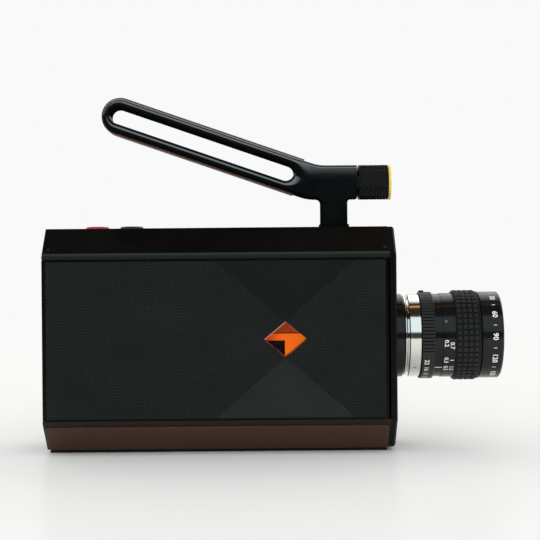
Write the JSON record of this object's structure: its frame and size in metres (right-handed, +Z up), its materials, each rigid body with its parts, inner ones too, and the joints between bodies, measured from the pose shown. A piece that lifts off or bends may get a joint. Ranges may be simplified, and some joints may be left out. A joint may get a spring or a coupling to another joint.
{
  "type": "cartridge movie camera",
  "caption": "Hand-held cartridge film camera with a side door and window, swing-out display, lift-off carrying handle with clamping knob, and a prime lens with iris and focus rings.",
  "frame": {"origin": "mouth centre of the tripod socket, in the plane that the base pad rests on", "axes": "+X forward out of the lens, +Y to the camera's left (display side), +Z up"},
  "size_m": [0.2092, 0.0635, 0.164],
  "materials": {
    "case_black": "satin black anodised",
    "leather_brown": "fine grained, dark brown",
    "leather_tan": "fine grained, tan",
    "rubber_black": "matte black",
    "steel": "machined",
    "blackened_steel": "blackened",
    "chassis_metal": "bead blasted",
    "cartridge_black": "moulded black",
    "label_orange": "coated orange",
    "film_brown": "glossy brown",
    "board_green": "green solder mask",
    "battery_wrap": "shrink wrapped, dark blue",
    "inner_plastic": "moulded black",
    "foam_grey": "open cell foam, dark grey",
    "door_texture": "textured inlay, near black",
    "window_clear": "clear",
    "display_black": "satin black",
    "screen_glass": "dark glossy",
    "button_red": "crimson",
    "button_grey": "dark anodised",
    "wheel_metal": "black anodised",
    "handle_gloss": "cast, gloss black enamel",
    "knob_black": "knurled, black anodised",
    "ring_gold": "gold anodised",
    "lens_black": "black anodised",
    "lens_chrome": "polished",
    "lens_silver": "satin silver",
    "lens_glass": "coated lens glass",
    "gear_brass": "cut brass",
    "gear_white": "moulded white"
  },
  "bodies": {
    "camera_body": {"top_cover": "case_black", "bottom_cover": "case_black", "front_plate": "case_black", "rear_plate": "case_black", "left_panel": "case_black", "base_leather_right": "leather_brown", "base_leather_left": "leather_brown", "base_pad": "rubber_black", "tripod_bush": "steel", "cover_screws": "steel", "chassis_plate": "chassis_metal", "gate_plate": "chassis_metal", "cartridge_shell": "cartridge_black", "cartridge_label": "label_orange", "film_strip": "film_brown", "film_roll": "film_brown", "takeup_motor": "steel", "shutter_motor": "steel", "main_board": "board_green", "battery_pack": "battery_wrap", "switch_board": "board_green", "data_socket": "steel", "hinge_pins": "steel", "door_magnets": "steel", "display_tray": "inner_plastic", "handle_foot": "handle_gloss", "mount_boss": "lens_black", "lens_flange": "lens_chrome", "lens_rear_ring": "lens_silver", "lens_tube": "lens_black"},
    "door": {"door_panel": "case_black", "door_skin_rear": "door_texture", "door_skin_front": "door_texture", "door_skin_top": "door_texture", "door_skin_bottom": "door_texture", "window_pane": "window_clear", "pressure_block": "inner_plastic", "pressure_foam": "foam_grey"},
    "display": {"display_housing": "display_black", "display_screen": "screen_glass"},
    "jog": {"jog_wheel": "wheel_metal"},
    "port": {"port_cover": "inner_plastic"},
    "record": {"record_button": "button_red"},
    "menu": {"menu_button": "button_grey"},
    "handle": {"handle_frame": "handle_gloss", "handle_leather": "leather_tan"},
    "clamp": {"clamp_pad": "steel"},
    "knob": {"knob": "knob_black", "knob_end_ring": "ring_gold"},
    "iris": {"iris_ring": "lens_black", "iris_lock_screw": "blackened_steel"},
    "iris_upper": {"iris_blade_upper": "blackened_steel"},
    "iris_lower": {"iris_blade_lower": "blackened_steel"},
    "focus": {"focus_ring": "lens_black", "focus_grip": "rubber_black"},
    "front": {"front_barrel": "lens_black", "front_element": "lens_glass"},
    "shutter": {"shutter_disc": "blackened_steel"},
    "pinion": {"motor_pinion": "gear_brass"},
    "takeup": {"takeup_spindle": "gear_white"}
  },
  "joints": [
    {"name": "door_swing", "type": "hinge", "parent": "camera_body", "child": "door", "pos_m": [0.055, -0.0284, 0.052], "axis": [0, 0, 1], "range_deg": [0, 90]},
    {"name": "display_swing", "type": "hinge", "parent": "camera_body", "child": "display", "pos_m": [0.0435, 0.029, 0.0518], "axis": [0, 0, 1], "range_deg": [-100, 0]},
    {"name": "handle_lift", "type": "slide", "parent": "camera_body", "child": "handle", "axis": [0, 0, 1], "range_m": [0, 0.027]},
    {"name": "clamp_slide", "type": "slide", "parent": "handle", "child": "clamp", "axis": [1, 0, 0], "range_m": [0, 0.001]},
    {"name": "knob_turn", "type": "hinge", "parent": "clamp", "child": "knob", "pos_m": [0.05, 0, 0.12385], "axis": [1, 0, 0], "range_deg": [0, 360]},
    {"name": "record_press", "type": "slide", "parent": "camera_body", "child": "record", "axis": [0, 0, -1], "range_m": [0, 0.0008], "stiffness_N_per_m": 500, "springref_m": -0.0005},
    {"name": "menu_press", "type": "slide", "parent": "camera_body", "child": "menu", "axis": [0, 0, -1], "range_m": [0, 0.0008], "stiffness_N_per_m": 500, "springref_m": -0.0005},
    {"name": "jog_turn", "type": "hinge", "parent": "camera_body", "child": "jog", "pos_m": [-0.072, 0.031, 0.058], "axis": [0, 1, 0], "continuous": true},
    {"name": "port_cover_swing", "type": "hinge", "parent": "camera_body", "child": "port", "pos_m": [-0.09905, 0, 0.03245], "axis": [0, -1, 0], "range_deg": [0, 100]},
    {"name": "iris_turn", "type": "hinge", "parent": "camera_body", "child": "iris", "pos_m": [0.075, 0, 0.0518], "axis": [1, 0, 0], "range_deg": [0, 80]},
    {"name": "iris_upper_slide", "type": "slide", "parent": "camera_body", "child": "iris_upper", "axis": [0, 0, -1], "range_m": [0, 0.006]},
    {"name": "iris_lower_slide", "type": "slide", "parent": "camera_body", "child": "iris_lower", "axis": [0, 0, 1], "range_m": [0, 0.006]},
    {"name": "focus_turn", "type": "hinge", "parent": "camera_body", "child": "focus", "pos_m": [0.09, 0, 0.0518], "axis": [1, 0, 0], "range_deg": [0, 270]},
    {"name": "front_slide", "type": "slide", "parent": "camera_body", "child": "front", "axis": [1, 0, 0], "range_m": [0, 0.0012]},
    {"name": "shutter_turn", "type": "hinge", "parent": "camera_body", "child": "shutter", "pos_m": [0.054, -0.0096, 0.0518], "axis": [1, 0, 0], "continuous": true},
    {"name": "motor_turn", "type": "hinge", "parent": "camera_body", "child": "pinion", "pos_m": [-0.03803, 0.0115, 0.0518], "axis": [0, 1, 0], "continuous": true},
    {"name": "takeup_turn", "type": "hinge", "parent": "camera_body", "child": "takeup", "pos_m": [-0.00603, 0.0115, 0.0518], "axis": [0, 1, 0], "continuous": true}
  ],
  "couplings": [
    {"joint": "clamp_slide", "follows": "knob_turn", "m_per_rad": 0.000159},
    {"joint": "iris_upper_slide", "follows": "iris_turn", "m_per_rad": 0.00429},
    {"joint": "iris_lower_slide", "follows": "iris_turn", "m_per_rad": 0.00429},
    {"joint": "front_slide", "follows": "focus_turn", "m_per_rad": 0.000254},
    {"joint": "motor_turn", "follows": "takeup_turn", "ratio": -3}
  ]
}
